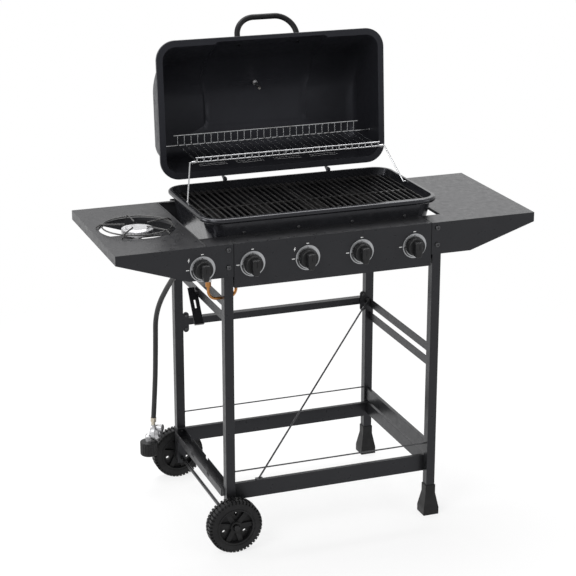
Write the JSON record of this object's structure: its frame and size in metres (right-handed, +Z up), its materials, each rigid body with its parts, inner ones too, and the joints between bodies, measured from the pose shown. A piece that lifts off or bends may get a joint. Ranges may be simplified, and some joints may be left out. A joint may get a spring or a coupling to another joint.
{
  "type": "gas grill",
  "caption": "Freestanding gas grill cart with hinged lid, knob panel, side shelves, side burner, warming rack, hose with regulator, wheels and open frame.",
  "frame": {"origin": "on the ground, below the middle of the grill's outline without the hose and regulator", "axes": "+X to the right seen from the front, +Y to the back, +Z up"},
  "size_m": [1.179, 0.7038, 1.3463],
  "materials": {
    "bezel_silver": "satin silver",
    "black_plastic": "fine-grained black",
    "brass": "plain brass",
    "ceramic_white": "glazed white",
    "chrome_wire": "bright chrome-plated wire",
    "dark_steel": "black oxide",
    "enamel": "semi-gloss black enamel",
    "hose_rubber": "black rubber",
    "porcelain": "black porcelain enamel",
    "powder_coat": "textured black powder coat",
    "stainless": "stainless",
    "steel": "plain steel",
    "wheel_plastic": "moulded black",
    "zinc": "cast zinc, grey"
  },
  "bodies": {
    "cart": {"axle": "steel", "axle_caps": "black_plastic", "bottle_coupling": "black_plastic", "brace_rod": "dark_steel", "control_panel": "powder_coat", "firebox": "enamel", "firebox_beam": "powder_coat", "frame_screws": "dark_steel", "gas_hose": "hose_rubber", "gas_manifold": "steel", "gas_regulator": "zinc", "gas_valves": "zinc", "grate_left": "porcelain", "grate_right": "porcelain", "guard_wires": "dark_steel", "heat_plates": "porcelain", "hinge_brackets": "enamel", "hob_bracket": "powder_coat", "hob_burner": "zinc", "hob_trivet": "porcelain", "hose_ferrule": "brass", "igniter_electrodes": "ceramic_white", "knob_bezels": "bezel_silver", "leg_feet": "wheel_plastic", "leg_front_left": "powder_coat", "leg_front_right": "powder_coat", "leg_rear_left": "powder_coat", "leg_rear_right": "powder_coat", "lower_bars_right": "powder_coat", "lower_channel_left": "powder_coat", "lower_rails": "powder_coat", "shelf_left": "powder_coat", "shelf_right": "powder_coat", "side_supply_tube": "brass", "tube_burners": "stainless", "upper_bar_rear": "powder_coat", "upper_bars_left": "powder_coat", "upper_bars_right": "powder_coat"},
    "lid_body": {"lid": "enamel", "lid_handle": "black_plastic", "lid_fasteners": "steel", "thermometer": "stainless", "lid_hinge_arms": "enamel"},
    "rack_legs_body": {"rack_legs": "chrome_wire"},
    "rack_body": {"warming_rack": "chrome_wire"},
    "wheel_front_body": {"wheel_front": "wheel_plastic"},
    "wheel_rear_body": {"wheel_rear": "wheel_plastic"},
    "grease_cup_body": {"grease_cup": "steel"},
    "bottle_hook_body": {"bottle_hook": "powder_coat"},
    "stem_0_body": {"valve_stem_0": "steel"},
    "knob_0_body": {"knob_0": "black_plastic"},
    "stem_1_body": {"valve_stem_1": "steel"},
    "knob_1_body": {"knob_1": "black_plastic"},
    "stem_2_body": {"valve_stem_2": "steel"},
    "knob_2_body": {"knob_2": "black_plastic"},
    "stem_3_body": {"valve_stem_3": "steel"},
    "knob_3_body": {"knob_3": "black_plastic"},
    "stem_4_body": {"valve_stem_4": "steel"},
    "knob_4_body": {"knob_4": "black_plastic"}
  },
  "joints": [
    {"name": "lid_swing", "type": "hinge", "parent": "cart", "child": "lid_body", "pos_m": [0.004, 0.15161, 0.905], "axis": [1, 0, 0], "range_deg": [0, 94]},
    {"name": "rack_legs_swing", "type": "hinge", "parent": "cart", "child": "rack_legs_body", "pos_m": [0.004, -0.02639, 0.899], "axis": [1, 0, 0], "range_deg": [0, 94]},
    {"name": "rack_swing", "type": "hinge", "parent": "rack_legs_body", "child": "rack_body", "pos_m": [0.004, 0.04361, 0.989], "axis": [1, 0, 0], "range_deg": [-94, 0]},
    {"name": "wheel_front_spin", "type": "hinge", "parent": "cart", "child": "wheel_front_body", "pos_m": [-0.29, -0.28839, 0.075], "axis": [0, 1, 0], "continuous": true},
    {"name": "wheel_rear_spin", "type": "hinge", "parent": "cart", "child": "wheel_rear_body", "pos_m": [-0.29, 0.16661, 0.075], "axis": [0, 1, 0], "continuous": true},
    {"name": "grease_cup_slide", "type": "slide", "parent": "cart", "child": "grease_cup_body", "axis": [0, 1, 0], "range_m": [0, 0.15]},
    {"name": "bottle_hook_swing", "type": "hinge", "parent": "cart", "child": "bottle_hook_body", "pos_m": [-0.2885, -0.01819, 0.648], "axis": [1, 0, 0], "range_deg": [-28, 72]},
    {"name": "knob_0_push", "type": "slide", "parent": "cart", "child": "stem_0_body", "axis": [0, 1, 0], "range_m": [0, 0.004], "stiffness_N_per_m": 900, "springref_m": -0.003},
    {"name": "knob_0_turn", "type": "hinge", "parent": "stem_0_body", "child": "knob_0_body", "pos_m": [-0.3605, -0.30939, 0.798], "axis": [0, -1, 0], "range_deg": [0, 180]},
    {"name": "knob_1_push", "type": "slide", "parent": "cart", "child": "stem_1_body", "axis": [0, 1, 0], "range_m": [0, 0.004], "stiffness_N_per_m": 900, "springref_m": -0.003},
    {"name": "knob_1_turn", "type": "hinge", "parent": "stem_1_body", "child": "knob_1_body", "pos_m": [-0.2245, -0.30939, 0.798], "axis": [0, -1, 0], "range_deg": [0, 180]},
    {"name": "knob_2_push", "type": "slide", "parent": "cart", "child": "stem_2_body", "axis": [0, 1, 0], "range_m": [0, 0.004], "stiffness_N_per_m": 900, "springref_m": -0.003},
    {"name": "knob_2_turn", "type": "hinge", "parent": "stem_2_body", "child": "knob_2_body", "pos_m": [-0.072, -0.30939, 0.798], "axis": [0, -1, 0], "range_deg": [0, 180]},
    {"name": "knob_3_push", "type": "slide", "parent": "cart", "child": "stem_3_body", "axis": [0, 1, 0], "range_m": [0, 0.004], "stiffness_N_per_m": 900, "springref_m": -0.003},
    {"name": "knob_3_turn", "type": "hinge", "parent": "stem_3_body", "child": "knob_3_body", "pos_m": [0.0805, -0.30939, 0.798], "axis": [0, -1, 0], "range_deg": [0, 180]},
    {"name": "knob_4_push", "type": "slide", "parent": "cart", "child": "stem_4_body", "axis": [0, 1, 0], "range_m": [0, 0.004], "stiffness_N_per_m": 900, "springref_m": -0.003},
    {"name": "knob_4_turn", "type": "hinge", "parent": "stem_4_body", "child": "knob_4_body", "pos_m": [0.233, -0.30939, 0.798], "axis": [0, -1, 0], "range_deg": [0, 180]}
  ],
  "couplings": [
    {"joint": "rack_legs_swing", "follows": "lid_swing", "ratio": 1},
    {"joint": "rack_swing", "follows": "lid_swing", "ratio": -1}
  ]
}
